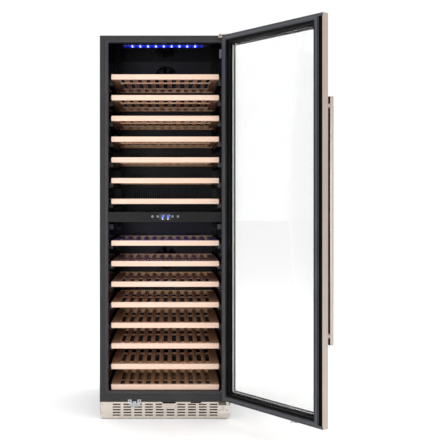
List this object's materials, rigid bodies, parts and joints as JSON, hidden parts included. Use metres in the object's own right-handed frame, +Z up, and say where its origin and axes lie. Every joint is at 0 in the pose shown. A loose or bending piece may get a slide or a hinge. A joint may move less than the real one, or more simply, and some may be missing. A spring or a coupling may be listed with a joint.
{
  "type": "wine cooler",
  "caption": "Tall free-standing two-zone wine cooler with a black cabinet, sliding beech shelves and an open glazed steel door with a long bar handle.",
  "frame": {"origin": "on the floor under the middle of the cabinet's plan, door left out", "axes": "+Z up, -Y out of the front, +X to the right seen from the front, where the door hinges are"},
  "size_m": [0.982, 1.1251, 1.751],
  "materials": {
    "painted_steel": "satin black powder coat",
    "zinc_steel": "dull zinc coating",
    "stainless": "brushed along its length",
    "chrome": "bright plated",
    "frame_plastic": "fine-textured charcoal",
    "liner_plastic": "glossy black",
    "foam": "rigid foam",
    "black_plastic": "fine matt",
    "panel_plastic": "semi-gloss black",
    "window": "smoked, lit from behind",
    "button": "pale grey print on black",
    "led_cover": "translucent, lit blue",
    "beech": "sanded and clear lacquered",
    "grommet": "moulded",
    "aluminium": "mill finish",
    "glass": "clear, faint green edge",
    "gasket": "soft magnetic seal"
  },
  "bodies": {
    "cabinet": {"cabinet_shell": "painted_steel", "back_panel": "zinc_steel", "insulation": "foam", "front_frame": "frame_plastic", "upper_liner": "liner_plastic", "lower_liner": "liner_plastic", "zone_divider": "liner_plastic", "upper_back_cover": "liner_plastic", "lower_back_cover": "liner_plastic", "fan_frames": "black_plastic", "evaporators": "aluminium", "condenser": "aluminium", "control_panel": "panel_plastic", "display_window": "window", "led_bars": "led_cover", "door_switch": "button", "shelf_rails": "liner_plastic", "base_tray": "zinc_steel", "levelling_feet": "black_plastic", "compressor": "painted_steel", "power_inlet": "black_plastic", "upper_hinge": "stainless", "lower_hinge": "stainless", "hinge_pins": "chrome", "door_keeper": "chrome", "kick_grille": "stainless", "cabinet_screws": "chrome"},
    "door": {"door_frame": "stainless", "door_liner": "black_plastic", "glass_panes": "glass", "glass_spacer": "aluminium", "gasket": "gasket", "handle_bar": "stainless", "handle_posts": "stainless", "handle_screws": "zinc_steel", "hinge_bushes": "black_plastic", "lock_cylinder": "chrome"},
    "lock_cam": {"lock_cam": "chrome"},
    "upper_fan_rotor": {"upper_fan_rotor": "black_plastic"},
    "lower_fan_rotor": {"lower_fan_rotor": "black_plastic"},
    "condenser_fan_rotor": {"condenser_fan_rotor": "black_plastic"},
    "button_power": {"button_power": "button"},
    "button_light": {"button_light": "button"},
    "button_up": {"button_up": "button"},
    "button_down": {"button_down": "button"},
    "shelf_01": {"shelf_01": "beech"},
    "shelf_02": {"shelf_02": "beech"},
    "shelf_03": {"shelf_03": "beech"},
    "shelf_04": {"shelf_04": "beech"},
    "shelf_05": {"shelf_05": "beech"},
    "shelf_06": {"shelf_06": "beech"},
    "shelf_07": {"shelf_07": "beech"},
    "shelf_08": {"shelf_08": "beech"},
    "shelf_09": {"shelf_09": "beech"},
    "shelf_10": {"shelf_10": "beech"},
    "shelf_11": {"shelf_11": "beech"},
    "shelf_12": {"shelf_12": "beech"},
    "shelf_13": {"shelf_13": "beech"},
    "shelf_14": {"shelf_14": "beech"},
    "shelf_15": {"shelf_15": "beech"}
  },
  "joints": [
    {"name": "door_hinge", "type": "hinge", "parent": "cabinet", "child": "door", "pos_m": [0.2825, -0.345, 0.9], "axis": [0, 0, 1], "range_deg": [-128.5, 0]},
    {"name": "lock_turn", "type": "hinge", "parent": "door", "child": "lock_cam", "pos_m": [0.54489, -0.67487, 0.0945], "axis": [0, 0, 1], "range_deg": [0, 90]},
    {"name": "upper_fan_spin", "type": "hinge", "parent": "cabinet", "child": "upper_fan_rotor", "pos_m": [0, 0.229, 1.639], "axis": [0, 1, 0], "continuous": true},
    {"name": "lower_fan_spin", "type": "hinge", "parent": "cabinet", "child": "lower_fan_rotor", "pos_m": [0, 0.229, 0.696], "axis": [0, 1, 0], "continuous": true},
    {"name": "condenser_fan_spin", "type": "hinge", "parent": "cabinet", "child": "condenser_fan_rotor", "pos_m": [-0.08, -0.19, 0.053], "axis": [0, 1, 0], "continuous": true},
    {"name": "button_power_press", "type": "slide", "parent": "cabinet", "child": "button_power", "axis": [0, 1, 0], "range_m": [0, 0.001], "stiffness_N_per_m": 400},
    {"name": "button_light_press", "type": "slide", "parent": "cabinet", "child": "button_light", "axis": [0, 1, 0], "range_m": [0, 0.001], "stiffness_N_per_m": 400},
    {"name": "button_up_press", "type": "slide", "parent": "cabinet", "child": "button_up", "axis": [0, 1, 0], "range_m": [0, 0.001], "stiffness_N_per_m": 400},
    {"name": "button_down_press", "type": "slide", "parent": "cabinet", "child": "button_down", "axis": [0, 1, 0], "range_m": [0, 0.001], "stiffness_N_per_m": 400},
    {"name": "shelf_01_slide", "type": "slide", "parent": "cabinet", "child": "shelf_01", "axis": [0, -1, 0], "range_m": [0, 0.28]},
    {"name": "shelf_02_slide", "type": "slide", "parent": "cabinet", "child": "shelf_02", "axis": [0, -1, 0], "range_m": [0, 0.28]},
    {"name": "shelf_03_slide", "type": "slide", "parent": "cabinet", "child": "shelf_03", "axis": [0, -1, 0], "range_m": [0, 0.28]},
    {"name": "shelf_04_slide", "type": "slide", "parent": "cabinet", "child": "shelf_04", "axis": [0, -1, 0], "range_m": [0, 0.28]},
    {"name": "shelf_05_slide", "type": "slide", "parent": "cabinet", "child": "shelf_05", "axis": [0, -1, 0], "range_m": [0, 0.28]},
    {"name": "shelf_06_slide", "type": "slide", "parent": "cabinet", "child": "shelf_06", "axis": [0, -1, 0], "range_m": [0, 0.28]},
    {"name": "shelf_07_slide", "type": "slide", "parent": "cabinet", "child": "shelf_07", "axis": [0, -1, 0], "range_m": [0, 0.28]},
    {"name": "shelf_08_slide", "type": "slide", "parent": "cabinet", "child": "shelf_08", "axis": [0, -1, 0], "range_m": [0, 0.28]},
    {"name": "shelf_09_slide", "type": "slide", "parent": "cabinet", "child": "shelf_09", "axis": [0, -1, 0], "range_m": [0, 0.28]},
    {"name": "shelf_10_slide", "type": "slide", "parent": "cabinet", "child": "shelf_10", "axis": [0, -1, 0], "range_m": [0, 0.28]},
    {"name": "shelf_11_slide", "type": "slide", "parent": "cabinet", "child": "shelf_11", "axis": [0, -1, 0], "range_m": [0, 0.28]},
    {"name": "shelf_12_slide", "type": "slide", "parent": "cabinet", "child": "shelf_12", "axis": [0, -1, 0], "range_m": [0, 0.28]},
    {"name": "shelf_13_slide", "type": "slide", "parent": "cabinet", "child": "shelf_13", "axis": [0, -1, 0], "range_m": [0, 0.28]},
    {"name": "shelf_14_slide", "type": "slide", "parent": "cabinet", "child": "shelf_14", "axis": [0, -1, 0], "range_m": [0, 0.28]},
    {"name": "shelf_15_slide", "type": "slide", "parent": "cabinet", "child": "shelf_15", "axis": [0, -1, 0], "range_m": [0, 0.2]}
  ]
}
